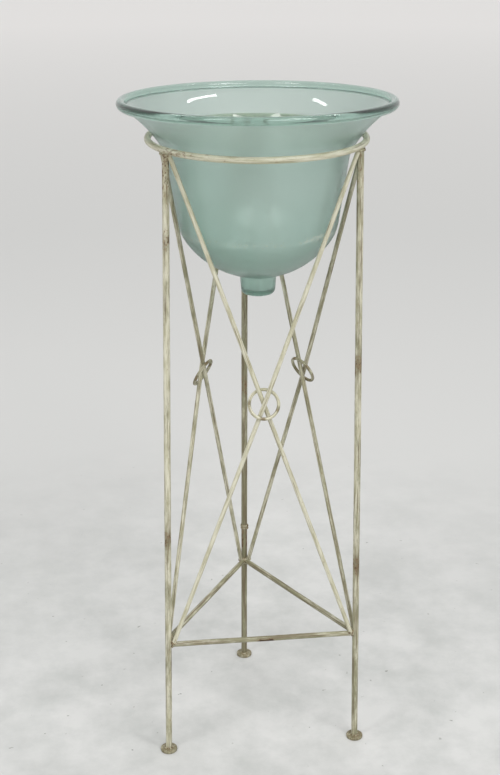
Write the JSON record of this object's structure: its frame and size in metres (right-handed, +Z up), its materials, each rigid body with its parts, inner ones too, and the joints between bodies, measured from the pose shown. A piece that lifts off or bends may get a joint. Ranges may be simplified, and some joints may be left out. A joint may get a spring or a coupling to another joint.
{
  "type": "bird bath",
  "caption": "Bell-shaped sea-green glass bowl with a rolled lip, hanging loose in the ring of a tall three-legged stand of painted iron rod with crossed braces.",
  "frame": {"origin": "on the ground, under the middle of the bowl", "axes": "+Z up; +Y towards the back leg; X to the right, along the front stretcher"},
  "size_m": [0.3783, 0.378, 0.9799],
  "materials": {
    "glass": "recycled sea-green glass, satin outside, glossy inside",
    "painted_iron": "worn antique cream paint over brown iron"
  },
  "bodies": {
    "stand": {"support_ring": "painted_iron", "front_left_leg": "painted_iron", "front_right_leg": "painted_iron", "back_leg": "painted_iron", "front_left_foot": "painted_iron", "front_right_foot": "painted_iron", "back_foot": "painted_iron", "front_stretcher": "painted_iron", "left_stretcher": "painted_iron", "right_stretcher": "painted_iron", "front_inner_brace": "painted_iron", "front_outer_brace": "painted_iron", "front_brace_ring": "painted_iron", "left_inner_brace": "painted_iron", "left_outer_brace": "painted_iron", "left_brace_ring": "painted_iron", "right_inner_brace": "painted_iron", "right_outer_brace": "painted_iron", "right_brace_ring": "painted_iron"},
    "bowl": {"glass_bowl": "glass"}
  },
  "joints": [
    {"name": "bowl_lift", "type": "slide", "parent": "stand", "child": "bowl", "axis": [0, 0, 1], "range_m": [0, 0.26]}
  ]
}
